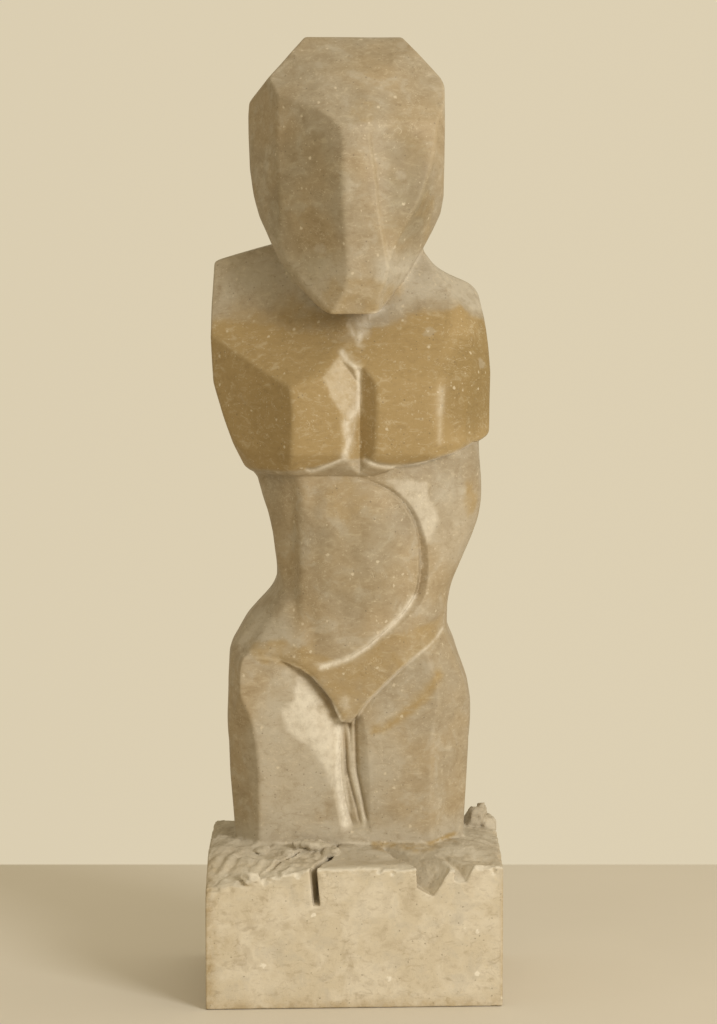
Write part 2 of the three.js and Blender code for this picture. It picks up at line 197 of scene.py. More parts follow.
def chest(x, y, h):
    block = sawn_block(x, y, h, chest_bottom, chest_top, chest_flats, chest_wear)
    root = y + chest_front - np.interp(h, [194, 240, 254], [sternum_depth, sternum_depth, sternum_depth_high])
    left_wall = 0.7415 * (x - sternum_x) - 0.671 * root
    right_wall = -0.724 * (x - sternum_x) - 0.69 * root
    v_end = (v_top - h - y - 40) / 1.41
    block = rub(block, np.minimum(np.minimum(left_wall, right_wall), v_end), 1.4)
    lip = 0.42 * (x + 10.5) - 0.86 * (y + chest_front) + 0.29 * (h - 234)
    lip_top = (lip_head - h - 1.3 * (x + 6.2) - 1.6 * (y + 40)) / 2.3
    lip_end = np.minimum(sternum_x + 0.2 - x, np.minimum(h - lip_foot, lip_top))
    return rub(block, np.minimum(lip, lip_end), 1.2)


# Trunk
# The waist, narrow on the viewer's left and swelling to a wide flank on the right. It is
# sawn in broad flats and rubbed down more than the chest, so its arrises are softer.
trunk_bottom, trunk_top = 96, 216
trunk_wear = 3.0
trunk_flats = [
    sawn(-90, [[96, 38], [139, 37.9], [150, 40.3], [162, 41.8], [173.5, 44.5], [182, 47.6], [192, 50.2],
               [216, 51]], 2),
    sawn(90, [[96, 45.3], [116, 45.3], [124.6, 46.3], [133, 48.5], [144, 53.1], [158.6, 59.5], [169, 63.7],
              [180, 65.2], [190.5, 65.1], [208, 63.4], [216, 60]], 2),
    sawn(-50, [[96, 38], [139, 38], [160, 39.5], [190, 43], [216, 44]], 2),
    sawn(0, [[96, 25], [112, 27.5], [130, 28.5], [160, 29.5], [190, 33], [216, 34]], 2),
    sawn(22, [[96, 31], [112, 34], [130, 35.5], [165, 38.5], [190, 40.8], [216, 41]], 2),
    sawn(42, [[96, 40], [120, 40.5], [144, 44.5], [160, 46.2], [180, 47.2], [216, 47.5]], 2),
    sawn(66, [[96, 43], [116, 43.3], [133, 46.5], [144, 51], [160, 56.5], [180, 60.5], [216, 60]], 2),
    sawn(180, [[96, 38], [125, 33], [155, 31], [180, 32.5], [200, 33.5], [216, 33.5]], 3),
    sawn(-140, [[96, 48], [140, 44], [165, 46], [200, 52], [216, 52]], 3),
    sawn(140, [[96, 52], [125, 47], [155, 52], [180, 56], [216, 57]], 3),
]


def trunk(x, y, h):
    return sawn_block(x, y, h, trunk_bottom, trunk_top, trunk_flats, trunk_wear)


# Belly
# A raised plate on the front of the trunk, straight down its left side and ended on the
# right by one sweeping arc, with a groove cut round the arc to throw it forward.
def swept(points, turns):
    """A smooth line through points, as the chisel follows it."""
    points = np.array(points, float)
    ends = np.vstack([2 * points[0] - points[1], points, 2 * points[-1] - points[-2]])
    line = []
    for before, start, end, after in zip(ends, ends[1:], ends[2:], ends[3:]):
        for share in np.arange(turns) / turns:
            line.append(0.5 * (2 * start + (end - before) * share
                               + (2 * before - 5 * start + 4 * end - after) * share ** 2
                               + (3 * start - before - 3 * end + after) * share ** 3))
    return np.array(line + [points[-1]])


def along(line, a, b):
    """Distance to a drawn line, and how far along it the nearest point is, from 0 to 1."""
    best = np.full(a.shape, 1e9)
    share = np.zeros(a.shape)
    lengths = np.hypot(*np.diff(line, axis=0).T)
    run = np.concatenate([[0], np.cumsum(lengths)]) / lengths.sum()
    for start, end, first, last in zip(line, line[1:], run, run[1:]):
        step = end - start
        place = np.clip(((a - start[0]) * step[0] + (b - start[1]) * step[1]) / (step @ step), 0, 1)
        gap = (a - start[0] - place * step[0]) ** 2 + (b - start[1] - place * step[1]) ** 2
        closer = gap < best
        best = np.where(closer, gap, best)
        share = np.where(closer, first + (last - first) * place, share)
    return np.sqrt(best), share


def drawn(outline, a, b):
    """Signed distance to a closed outline drawn on the front, less than 0 inside it."""
    closed = np.vstack([outline, outline[:1]])
    distance, _ = along(closed, a, b)
    inside = np.zeros(a.shape, bool)
    for start, end in zip(closed, closed[1:]):
        rise = end[1] - start[1]
        if rise != 0:
            crosses = (b < start[1]) != (b < end[1])
            inside ^= crosses & (a < start[0] + (b - start[1]) * (end[0] - start[0]) / rise)
    return np.where(inside, -distance, distance)


belly_arc = swept([[2.5, 193], [9.7, 190.3], [17, 186.7], [23.3, 181.5], [28.3, 174.3], [31.5, 165.8],
                   [33, 154], [32.6, 141], [30, 131.5], [23, 122], [12.8, 112.2], [4, 105], [-5, 100],
                   [-17, 96]], 3)
belly_outline = np.vstack([[[-17, 200]], belly_arc, [[-31, 92], [-50, 92], [-50, 200]]])
belly_bottom, belly_top = 88, 200
belly_wear = 2.0
belly_flats = [
    sawn(0, [[88, 22], [96, 26.5], [103, 30], [120, 33.6], [142, 36.2], [165, 36.4], [188, 35], [196, 33],
             [200, 32]], 2),
    sawn(-24, [[88, 31], [105, 34], [120, 36.5], [142, 38.4], [165, 38.6], [190, 37.5], [200, 36]], 2),
    sawn(-68, [[88, 36], [120, 37.8], [145, 37.6], [185, 39.4], [200, 40]], 2),
    sawn(20, [[88, 30], [108, 33], [142, 37.4], [165, 37.4], [188, 36.8], [200, 35.5]], 2),
    sawn(180, [[88, 0], [200, 0]], 2),
]


def belly(x, y, h):
    plate = sawn_block(x, y, h, belly_bottom, belly_top, belly_flats, belly_wear)
    rolled = np.interp(h, [96, 116, 140, 175, 192], [1.8, 2.4, 7.0, 6.0, 2.5])
    return rub(plate, drawn(belly_outline, x, h), rolled)


# Hips
# Everything above the groin lines, with the wedge of the lower belly between the thighs.
# The groin lines were cut in with a chisel, so the hips end there in a low step.
hips_bottom, hips_top = 40, 139
hips_wear = 2.2
hips_flats = [
    sawn(-90, [[40, 55], [58, 63.6], [66, 64.4], [86.5, 63.9], [100.5, 63.3], [106, 62.2],
               [111, 59.6], [118.6, 55.3], [126, 48.4], [133.5, 41], [139, 37.5]], 1.6),
    sawn(90, [[40, 49], [58, 57.6], [66, 58.5], [74.5, 58.5], [85, 57], [95, 53.3], [104, 50.1], [112, 45.3],
              [139, 45.3]], 1.6),
    sawn(0, [[40, 20], [57, 23.5], [64, 25], [78, 27], [100, 28.3], [120, 28.6], [139, 28]], 2),
    sawn(-22, [[40, 34], [78, 42], [95, 45], [104, 43.5], [112, 40], [120, 36.5], [139, 34]], 2),
    sawn(-50, [[40, 48], [78, 58], [95, 60], [104, 57.5], [111, 53], [118, 48], [126, 42.5],
               [133, 38], [139, 36]], 1.8),
    sawn(-70, [[40, 56], [60, 63], [96, 63.6], [101, 62.6], [108, 58.5], [118.6, 51.5], [126, 45],
               [139, 36]], 1.8),
    sawn(25, [[40, 30], [78, 35], [104, 36], [139, 36]], 2),
    sawn(50, [[40, 40], [77, 47], [88, 47], [97, 44.5], [106, 42], [114, 40.5], [139, 43]], 2),
    sawn(180, [[40, 34], [58, 42], [66, 44], [84, 46], [104, 44], [122, 37], [139, 32]], 3),
    sawn(-146, [[40, 51], [60, 59.5], [84, 62], [106, 58], [139, 42]], 3),
    sawn(146, [[40, 48], [60, 56], [84, 58], [106, 53], [139, 46]], 3),
]


groin_depth = 10
thigh_stands_in = 2.5
groin_line = np.array([[-90, 102], [-54, 101.4], [-47.7, 100.6], [-37.3, 98.3], [-27.8, 95], [-21.6, 90],
                       [-16.4, 84], [-12.2, 78.5], [-9.6, 72], [-7.2, 67.4], [-2.2, 66.8], [1, 70.5],
                       [6.6, 77.5], [13, 84], [22.2, 93], [30.7, 100.4], [40, 107.5], [46, 113],
                       [90, 122], [90, 200], [-90, 200]], float)


def hips(x, y, h):
    block = sawn_block(x, y, h, hips_bottom, hips_top, hips_flats, hips_wear)
    flush = thigh_stands_in * smooth(-26, -42, x) * smooth(128, 108, h) * smooth(-8, -16, y)
    return rub(block + flush, np.minimum(drawn(groin_line, x, h), -groin_depth - y), 1.1)


# Thighs
# Two flat-sided blocks that grow out of the plinth. The V between them was opened with a
# point chisel, which left three fine grooves down its floor.
root_depth = 12
left_top, right_top = 112, 118
thigh_wear = 1.2
left_outline = np.array([[-80, -12], [1, -12], [1, 66], [-6, 84], [-18, 98], [-34, 103], [-54, 104],
                         [-80, 104]], float)
right_outline = np.array([[0, -12], [80, -12], [80, 118], [46, 118], [26, 106], [8, 92], [-1.8, 76],
                          [-1.8, 55]], float)
inner_facet = np.array([[-60, 60], [-60, 112], [0, 112], [0, 12], [-13, 24], [-20, 42], [-32, 56]], float)
thigh_front = [[-12, 20], [20, 21.5], [55, 23.6], [84, 25], [96, 25.6], [110, 25], [118, 25]]
left_flats = [
    sawn(-90, [[-12, 61.5], [4.5, 62], [18, 63], [40, 64.6], [62, 64.9], [74, 64.7], [100.5, 63.3],
               [110, 60]], 1.6),
    sawn(0, thigh_front, 2),
    sawn(-50, [[-12, 50.3], [39, 52], [55, 53.7], [64, 55], [73, 57.6], [82, 61], [90, 62.6],
               [102, 60.5], [110, 54]], 1.6),
    sawn(-72, [[-12, 60.8], [60, 63.2], [96, 63.4], [110, 58]], 1.6),
    sawn(180, [[-12, 39], [30, 40.5], [60, 43], [88, 43], [110, 38]], 3),
    sawn(-146, [[-12, 60], [60, 61], [110, 52]], 3),
]
right_flats = [
    sawn(90, [[-12, 55.8], [13, 56.7], [30, 57.7], [52, 58.7], [62, 58.9], [74.5, 58.7], [85, 57],
              [95, 53.3], [104, 50.1], [112, 45.3], [118, 44]], 1.6),
    sawn(0, thigh_front, 2),
    sawn(22, [[-12, 34.5], [20, 35.5], [60, 38.5], [80, 40.5], [96, 40], [118, 37]], 1.6),
    sawn(50, [[-12, 43.4], [40, 44.6], [65, 46.6], [77, 48.8], [88, 48.6], [97, 46], [106, 43.5],
              [118, 41]], 1.6),
    sawn(180, [[-12, 39], [30, 40.5], [60, 43], [88, 43], [118, 36]], 3),
    sawn(146, [[-12, 56], [60, 57], [118, 48]], 3),
]
gap_top = 76.0
groove_depth = 1.7
groove_width = 0.8
point_grooves = [[[64, -5.8], [58, -5.4], [41, -4.0], [23, 0.8], [13, 3.0]],
                 [[64, 0.4], [58, 0.6], [41, 1.2], [27, 4.0], [15, 6.3]],
                 [[44, -7.4], [30, -6.2], [22, -4.4], [13, -1.6]]]


def thighs(x, y, h):
    left = rub(sawn_block(x, y, h, -root_depth, left_top, left_flats, thigh_wear),
               drawn(left_outline, x, h), np.interp(x, [-50, -36, -26], [6, 5, 1.5]))
    facet = (0.3 * (x + 26) - 0.94 * (y + 24.6) + 0.12 * (h - 70)) / 0.994
    left = rub(left, np.minimum(facet, -drawn(inner_facet, x, h)), 1.2)
    right = rub(sawn_block(x, y, h, -root_depth, right_top, right_flats, thigh_wear),
                drawn(right_outline, x, h), 1.5)
    both = grow(left, right, 1.0)
    left_lip = np.interp(h, [12, 35, 60, 76], [-6.6, -11.3, -10.6, -8.8])
    right_lip = np.interp(h, [14, 35, 60, 76], [8.0, 7.6, 6.4, 2.4])
    fade = smooth(7, 14, h) * smooth(gap_top, gap_top - 8, h)
    cut = np.clip(np.minimum((x - left_lip) * 0.95, (right_lip - x) * 0.55), -2, 7) * fade
    for points in point_grooves:
        heights, places = np.array(points[::-1], float).T
        stray = x - np.interp(h, heights, places)
        started = smooth(heights[0] - 2, heights[0] + 4, h)
        cut = cut + groove_depth * np.exp(-(stray / groove_width) ** 2) * started * fade
    front_heights, front_depths = np.array(thigh_front, float).T
    opened = (cut - np.interp(h, front_heights, front_depths) - y) / 1.35
    return np.where(cut > -1.5, rub(both, opened - 0.3 * (cut < 0.05), 0.8), both)


# The figure as one mass
# The blocks run into each other: crisp under the pectorals, at the arc and at the groins,
# and rounded over at the back, where a shallow hollow marks the spine.
noise_seed = 20
noise_cells = 32
noise_lattice = np.random.default_rng(noise_seed).random((noise_cells,) * 3).astype(np.float32) * 2 - 1


def uneven(x, y, z, size, shift=0.0):
    """Smooth random unevenness of the stone from -1 to 1, with lumps of that size."""
    places = []
    for axis in (x, y, z):
        place = axis / size + 101.37 + shift
        cell = np.floor(place).astype(np.int32)
        part = (place - cell).astype(np.float32)
        places.append((cell % noise_cells, (cell + 1) % noise_cells, part * part * (3 - 2 * part)))
    (x0, x1, u), (y0, y1, v), (z0, z1, w) = places

    def row(yi, zi):
        return noise_lattice[x0, yi, zi] * (1 - u) + noise_lattice[x1, yi, zi] * u

    low = row(y0, z0) * (1 - v) + row(y1, z0) * v
    high = row(y0, z1) * (1 - v) + row(y1, z1) * v
    return low * (1 - w) + high * w


under_right_pec = swept([[6, 203], [12.9, 200.2], [23, 199.7], [33, 200.7], [43.2, 203.8], [53.3, 206.8],
                         [60, 210]], 3)
under_left_pec = swept([[-24, 198], [-20, 197.6], [-12.3, 200.7], [-4.7, 204.2]], 3)
left_groin = swept([[-57, 101], [-47, 100.6], [-37, 98.4], [-27.5, 95], [-21.4, 90], [-16.2, 83.4],
                    [-12, 77.5], [-8, 70]], 3)
right_groin = swept([[45, 113.5], [40, 108], [30.7, 100.8], [22.2, 93.4], [13, 84.2], [6.6, 77.6],
                     [1.4, 69]], 3)


def cut_along(line, x, h, width, depth):
    gap, _ = along(line, x, h)
    return depth * np.exp(-(gap / width) ** 2)


def figure(x, y, h):
    behind = smooth(-12, 12, y)
    mass = near(x, y, h, -root_depth, right_top, thighs)
    mass = grow(mass, near(x, y, h, hips_bottom, hips_top, hips),
                0.8 + 4 * behind + 1.5 * smooth(-30, -46, x))
    mass = grow(mass, near(x, y, h, trunk_bottom, trunk_top, trunk), 5.0 + 4 * behind)
    mass = grow(mass, near(x, y, h, belly_bottom, belly_top, belly), 1.2)
    mass = grow(mass, near(x, y, h, chest_bottom, chest_top, chest), 1.0 + 7 * behind)
    mass = grow(mass, near(x, y, h, neck_bottom, neck_top, neck), 5.0)
    mass = grow(mass, near(x, y, h, head_bottom, head_top, head), 2.5)

    front = (y < -6) & (h > 56) & (h < 216) & (mass < 8)
    a, b, d = x[front], h[front], y[front]
    cuts = cut_along(under_right_pec, a, b, 1.3, 1.1) + cut_along(under_left_pec, a, b, 1.2, 0.8)
    cuts += cut_along(left_groin, a, b - 1.2, 1.2, 0.6) + cut_along(right_groin, a, b + 0.6, 1.1, 0.5)
    gap, share = along(belly_arc, a, b)
    outside = np.where(drawn(belly_outline, a, b) > 0, gap, -gap)
    deep = np.interp(share, [0, 0.12, 0.3, 0.42, 0.55, 0.68, 1], [0.7, 1.6, 3.2, 4.6, 4.6, 1.6, 0.4])
    wide = np.interp(share, [0, 0.12, 0.3, 0.42, 0.55, 0.68, 1], [1.6, 2.2, 3.4, 4.8, 5.2, 3.4, 2.0])
    cuts += deep * smooth(-0.6, 0.5, outside) * np.clip(1 - outside / wide, 0, 1)
    cuts += 1.2 * (np.exp(-((a + 30.5) / 4.0) ** 2) * smooth(112, 130, b) * smooth(196, 184, b))
    mass[front] += cuts * smooth(-6, -14, d)

    back = (y > 8) & (h > -2) & (h < 280) & (mass < 12)
    a, b, d = x[back], h[back], y[back]
    spine = 3.2 * np.exp(-((a + 1.5) / 8.0) ** 2) * smooth(112, 140, b) * smooth(276, 240, b)
    seat = 4.5 * np.exp(-((a + 1) / 3.6) ** 2) * smooth(104, 84, b)
    mass[back] += (spine + seat) * smooth(8, 20, d)
    return mass


# Plinth
# The foot of the block: sawn on its sides, broken off rough on top, with a deep saw kerf,
# a slot and a notch left in the front edge where the waste was cut and snapped away.
plinth_width = 150.0
plinth_depth = 130.0
plinth_height = 73.0
plinth_skew = 8.0
kerf_width = 3.6
kerf_path = swept([[-22, -70], [-20.9, -60], [-18.2, -50], [-14, -41], [-10.3, -30], [-8.7, -18]], 2)
slot_path = swept([[38.5, -70], [36.8, -60], [30.5, -51], [22, -38], [14.5, -25]], 2)
notch_path = swept([[56, -66], [54.5, -58], [50.5, -50], [46, -42]], 2)
left_chink = swept([[-51, -68], [-46, -58], [-39, -46], [-33, -38], [-29, -32]], 2)
front_edge = [[-75, -11], [-66, -9], [-58, -7.5], [-47, -4.8], [-37, -3.2], [-28, -1.9], [-17, -0.8],
              [9, -0.6], [25, -1.4], [45, -0.8], [75, -0.3]]


def terraced(value, steps):
    """Stone breaks along its bed in flat ledges with short risers."""
    scaled = value * steps
    whole = np.floor(scaled)
    return (whole + smooth(0.62, 1.0, scaled - whole)) / steps


def broken_top(x, y):
    """Height of the broken top over its sawn level."""
    forward = y + plinth_depth / 2 - plinth_skew * (x / plinth_width + 0.5)
    edge_x, edge_h = np.array(front_edge, float).T
    zone = np.interp(x, [-75, -30, 0, 75], [36, 16, 9, 8])
    fall = np.interp(x, edge_x, edge_h) * smooth(zone, 0, forward + 2.5 * uneven(x, y, y, 9, 3))
    round_thighs = np.maximum(np.abs(x + 3) - 59, 0) ** 2 + np.maximum(np.abs(y - 10) - 31, 0) ** 2
    mound = 4.2 * smooth(24, 2, np.sqrt(round_thighs))
    tile = smooth(-20, -15, x) * smooth(24, 17, x) * smooth(-64, -58, y) * smooth(-26, -32, y)
    left = smooth(-4, -16, x)
    right = smooth(6, 16, x) * smooth(60, 46, x)
    left_grain = terraced(uneven((-0.9 * x + 0.45 * y) / 3.4, (0.45 * x + 0.9 * y) / 19, y * 0, 1.0, 5), 3)
    right_grain = uneven((0.83 * x + 0.55 * y) / 2.2, (0.55 * x - 0.83 * y) / 24, y * 0, 1.0, 9)
    ledges = terraced(uneven((0.2 * x + 0.98 * y) / 5.0, (0.98 * x - 0.2 * y) / 30, y * 0, 1.0, 13), 2)
    grain = 0.9 * left * left_grain + 1.2 * right * right_grain + 1.1 * (1 - right) * ledges
    lumps = 1.1 * uneven(x, y, y * 0, 11, 17) + 0.45 * uneven(x, y, y * 0, 4.3, 21)
    lumps += 0.3 * uneven(x, y, y * 0, 1.9, 25)
    return -0.9 + fall + mound + (grain + lumps) * (1 - 0.75 * tile)


def channel(path, x, y, h, widths, depths, lean, flare=0.0, tilt=0.0):
    """A saw cut let down from the top along a path in plan, negative inside the cut."""
    gap, share = along(path, x + lean * h, y)
    half = np.interp(share, [0, 0.33, 0.67, 1], widths) / 2
    floor = -np.interp(share, [0, 0.33, 0.67, 1], depths)
    middle = np.interp(y, path[:, 1], path[:, 0])
    floor = floor - tilt * (x - middle)
    opened = flare * np.maximum(h - floor, 0) * (x + lean * h > middle)
    return np.maximum((gap - half - opened) / (1 + flare), floor - h)


def plinth(x, y, h):
    skewed = plinth_depth / 2 - plinth_skew * (x / plinth_width + 0.5)
    chipped = 0.7 + 1.6 * np.maximum(uneven(x, y, h, 5, 31), 0) ** 2
    body = rub(np.abs(x) - plinth_width / 2, y - plinth_depth / 2, chipped)
    body = rub(body, (-y - skewed) / math.hypot(1, plinth_skew / plinth_width), chipped)
    body = rub(body, -plinth_height - h, chipped)
    upper = (h > -32) & (body < 12)
    a, b, c = x[upper], y[upper], h[upper]
    chewed = 1.6 + 6.0 * np.maximum(uneven(a, b, c, 3.4, 33), 0)
    top = rub(body[upper], (c - broken_top(a, b)) * 0.85, chewed)
    ragged = 0.22 * uneven(a, b, c, 3.2, 37)
    kerf = channel(kerf_path, a, b, c, [kerf_width, kerf_width, 3.4, 2.6], [22, 19, 11, 5], 0.09)
    slot = channel(slot_path, a, b, c, [8.4, 6.8, 4.6, 2.4], [17, 13, 7, 3], -0.02, 0.45, 0.4) + ragged
    notch = channel(notch_path, a, b, c, [6.6, 5.8, 4.4, 2.0], [11, 9, 4, 1.5], -0.12, 0.35) + ragged
    chink = channel(left_chink, a, b, c, [3.0, 2.2, 1.8, 1.2], [9, 5, 3, 1], 0) + ragged
    for cut in (kerf, slot, notch, chink):
        top = rub(top, -cut, 0.7)
    body[upper] = top
    return body


# Lumps left standing on the plinth
# Waste that was never knocked off: a knob and a rock at the right of the back, a slab and
# crumbs at the foot of the left thigh, and one bright chip on the front edge.
lumps_left = [
    (63.5, 38, 5.5, 5.2, 6.5, 8.5, 0.5),
    (70.0, 40, 1.5, 4.8, 7.0, 5.5, -0.2),
    (53.0, 33, -0.5, 6.5, 7.5, 5.0, -0.3),
    (-21.5, -29, 4.2, 8.0, 4.0, 2.6, 0.1),
    (-12.5, -33, 1.5, 4.0, 4.5, 2.6, -0.2),
    (-47.0, -29, 0.6, 4.2, 4.0, 3.2, 0.2),
    (-34.0, -33, -0.2, 3.2, 3.2, 2.4, 0.0),
    (-57.0, -27, 0.6, 3.6, 3.2, 2.2, 0.3),
    (-52.5, -61.5, -6.2, 4.6, 4.4, 3.4, 0.15),
]


def lumps_standing(x, y, h):
    mass = np.full(x.shape, 30.0)
    for place_x, place_y, place_h, half_x, half_y, half_h, lean in lumps_left:
        around = (np.abs(x - place_x) < 20) & (np.abs(y - place_y) < 20) & (np.abs(h - place_h) < 22)
        a, b, c = x[around] - place_x, y[around] - place_y, h[around] - place_h
        across = a * math.cos(lean) - c * math.sin(lean)
        up = a * math.sin(lean) + c * math.cos(lean)
        shell = np.sqrt((across / half_x) ** 2 + (b / half_y) ** 2 + (up / half_h) ** 2)
        stump = (shell - 1) * min(half_x, half_y, half_h)
        craggy = np.abs(uneven(a, b, c, 5.2, place_x)) - 0.35
        stump = stump + 1.8 * craggy + 0.7 * uneven(a, b, c, 2.3, place_y)
        mass[around] = np.minimum(mass[around], stump)
    return mass


# The whole stone
# Figure, plinth and lumps are one closed skin. It is laid over the mass as a fine net,
# thinned out where the stone is flat, and drawn back onto the mass.
carving_height = 488.0
block_low, block_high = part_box("stone_torso")
mm = (block_high[2] - block_low[2]) / carving_height
beyond = 60.0
figure_from = -root_depth - 12
plinth_to = 34


def stone(x, y, z):
    h = z - plinth_height
    mass = np.full(x.shape, beyond)
    upper = h > figure_from
    mass[upper] = figure(x[upper], y[upper], h[upper])
    handled = 0.32 * uneven(x[upper], y[upper], h[upper], 27, 41)
    handled += 0.12 * uneven(x[upper], y[upper], h[upper], 9, 43)
    mass[upper] += handled * smooth(-2, 6, h[upper])
    lower = h < plinth_to
    a, b, c = x[lower], y[lower], h[lower]
    foot = plinth(a, b, c) + 0.1 * uneven(a, b, c, 30, 47)
    foot = grow(foot, lumps_standing(a, b, c), 0.8)
    mass[lower] = grow(mass[lower], foot, 1.6)
    return np.maximum(mass, np.abs(x) - plinth_width / 2)


def in_turns(x, y, z):
    batch = 200000
    return np.concatenate([stone(x[i:i + batch], y[i:i + batch], z[i:i + batch])
                           for i in range(0, len(x), batch)])


net_step = 0.9
net_block = 6
margin = 2.2
low_corner = np.array([-plinth_width / 2, -plinth_depth / 2, 0]) - margin
size = np.array([plinth_width, plinth_depth, carving_height]) + 2 * margin
blocks = np.ceil(size / net_step / net_block).astype(int)
centres = [low_corner[i] + net_step * (net_block * (np.arange(blocks[i]) + 0.5) - 0.5) for i in range(3)]
block_x, block_y, block_z = [grid.ravel() for grid in np.meshgrid(*centres, indexing="ij")]
rough_mass = in_turns(block_x, block_y, block_z)
reach = net_step * (net_block * 0.87 + 2) + 1.5
skin_blocks = np.abs(rough_mass) < reach
knots = tuple(blocks * net_block)


def per_knot(of_blocks):
    for axis in range(3):
        of_blocks = np.repeat(of_blocks, net_block, axis)
    return of_blocks


solid = per_knot(rough_mass.reshape(blocks).astype(np.float32))
chosen = per_knot(skin_blocks.reshape(blocks))
at_x, at_y, at_z = np.nonzero(chosen)
solid[chosen] = in_turns(low_corner[0] + net_step * at_x, low_corner[1] + net_step * at_y,
                         low_corner[2] + net_step * at_z)

inside = solid < 0
corners = np.zeros(tuple(n - 1 for n in knots), np.uint8)
for i, j, k in np.ndindex(2, 2, 2):
    corners += inside[i:knots[0] - 1 + i, j:knots[1] - 1 + j, k:knots[2] - 1 + k]
cells = np.argwhere((corners > 0) & (corners < 8))
number = np.full(corners.shape, -1, np.int32)
number[tuple(cells.T)] = np.arange(len(cells))
total = np.zeros((len(cells), 3))
crossings = np.zeros(len(cells))
for axis in range(3):
    others = [i for i in range(3) if i != axis]
    for first, second in np.ndindex(2, 2):
        start = np.zeros(3, int)
        start[others[0]] = first
        start[others[1]] = second
        end = start.copy()
        end[axis] = 1
        at_start = solid[tuple((cells + start).T)]
        at_end = solid[tuple((cells + end).T)]
        crosses = (at_start < 0) != (at_end < 0)
        gone = np.where(crosses, at_start / np.where(crosses, at_start - at_end, 1), 0)
        place = start + gone[:, None] * (end - start)
        total += np.where(crosses[:, None], place, 0)
        crossings += crosses
points = low_corner + net_step * (cells + total / crossings[:, None])

faces = []
for axis in range(3):
    ahead = [slice(None)] * 3
    behind = [slice(None)] * 3
    ahead[axis] = slice(1, None)
    behind[axis] = slice(0, -1)
    for stone_side, air_side, outward_first in ((behind, ahead, True), (ahead, behind, False)):
        edge = np.argwhere(inside[tuple(stone_side)] & ~inside[tuple(air_side)])
        second, third = [(axis + 1) % 3, (axis + 2) % 3]
        ring = []
        for back_second, back_third in ((1, 1), (0, 1), (0, 0), (1, 0)):
            cell = edge.copy()
            cell[:, second] -= back_second
            cell[:, third] -= back_third
            ring.append(number[tuple(cell.T)])
        ring = np.stack(ring if outward_first else ring[::-1], axis=1)
        faces.append(ring)
faces = np.concatenate(faces)


def net_mesh(name, places, rings):
    """A mesh from points and rings of equal length, through the fast route."""
    mesh = bpy.data.meshes.new(name)
    mesh.vertices.add(len(places))
    mesh.vertices.foreach_set("co", places.astype(np.float32).ravel())
    count, corners_each = rings.shape
    mesh.loops.add(count * corners_each)
    mesh.loops.foreach_set("vertex_index", rings.astype(np.int32).ravel())
    mesh.polygons.add(count)
    mesh.polygons.foreach_set("loop_start", np.arange(0, count * corners_each, corners_each, dtype=np.int32))
    mesh.update(calc_edges=True)
    mesh.validate()
    return mesh


most_triangles = 186000
fine = bpy.data.objects.new("fine_net", net_mesh("fine_net", points, faces))
put_in_scene = bpy.context.scene.collection.objects.link
put_in_scene(fine)
thinning = fine.modifiers.new("thinning", "DECIMATE")
thinning.ratio = min(1.0, most_triangles / (2 * len(faces)))
thinning.use_collapse_triangulate = True
thinned = bpy.data.meshes.new_from_object(fine.evaluated_get(bpy.context.evaluated_depsgraph_get()))
places = np.empty(3 * len(thinned.vertices), np.float32)
thinned.vertices.foreach_get("co", places)
places = places.reshape(-1, 3).astype(float)
thinned.calc_loop_triangles()
rings = np.empty(3 * len(thinned.loop_triangles), np.int32)
thinned.loop_triangles.foreach_get("vertices", rings)
rings = rings.reshape(-1, 3)
bpy.data.objects.remove(fine)

# Loose crumbs inside the net are dropped: only the largest shell is the stone
label = np.arange(len(places))
pairs = np.concatenate([rings[:, [0, 1]], rings[:, [1, 2]]])
while True:
    lowest = np.minimum(label[pairs[:, 0]], label[pairs[:, 1]])
    fresh = label.copy()
    np.minimum.at(fresh, pairs[:, 0], lowest)
    np.minimum.at(fresh, pairs[:, 1], lowest)
    fresh = fresh[fresh]
    if np.array_equal(fresh, label):
        break
    label = fresh
shell = label == np.bincount(label).argmax()
renumber = np.cumsum(shell) - 1
rings = renumber[rings[shell[rings[:, 0]]]]
places = places[shell]


def slopes(at, reach):
    """Mass, outward direction and roundness of the stone at each point."""
    middle = in_turns(*at.T)
    direction = np.empty(at.shape)
    spread = np.zeros(len(at))
    for axis in range(3):
        shift = np.zeros(3)
        shift[axis] = reach
        more = in_turns(*(at + shift).T)
        less = in_turns(*(at - shift).T)
        direction[:, axis] = (more - less) / (2 * reach)
        spread += (more + less - 2 * middle) / reach ** 2
    return middle, direction, spread


furthest_pull = 0.5
for _ in range(2):
    value, direction, _ = slopes(places, 0.25)
    steep = np.maximum((direction ** 2).sum(1), 0.3)
    places -= direction * np.clip(value / steep, -furthest_pull, furthest_pull)[:, None]
places = np.clip(places, [-plinth_width / 2, -plinth_depth / 2, 0],
                 [plinth_width / 2, plinth_depth / 2, carving_height])
_, outward, roundness = slopes(places, 0.6)
outward /= np.maximum(np.linalg.norm(outward, axis=1), 1e-6)[:, None]

# Colour of the stone, set down on it by place
# Iron has stained the bed ochre through the chest and the lower belly. Steel and rasp
# leave white bruises along cuts and broken edges, and the unstained parts are grey.
# Painted highlights lighten the convex arrises, the right pectoral bevel and the thigh
# and flank facets, and painted shade darkens brown patches on the head and chest sides.
x, y, h = places[:, 0], places[:, 1], places[:, 2] - plinth_height
forward = smooth(4, -8, y)
drift_x = x + 4.0 * uneven(x, y, h, 13, 51) + 1.5 * uneven(x, y, h, 4, 53)
drift_h = h + 4.0 * uneven(x, y, h, 13, 55) + 1.5 * uneven(x, y, h, 4, 57)


def patch(across, up, half_across, half_up):
    spot = np.hypot((drift_x - across) / half_across, (drift_h - up) / half_up)
    return smooth(1.15, 0.65, spot)


def patches(base, spots):
    """Patches on the front: middle across and up, half sizes, and how strong."""
    for across, up, half_across, half_up, strength in spots:
        base = np.maximum(base, strength * patch(across, up, half_across, half_up) * forward)
    return base


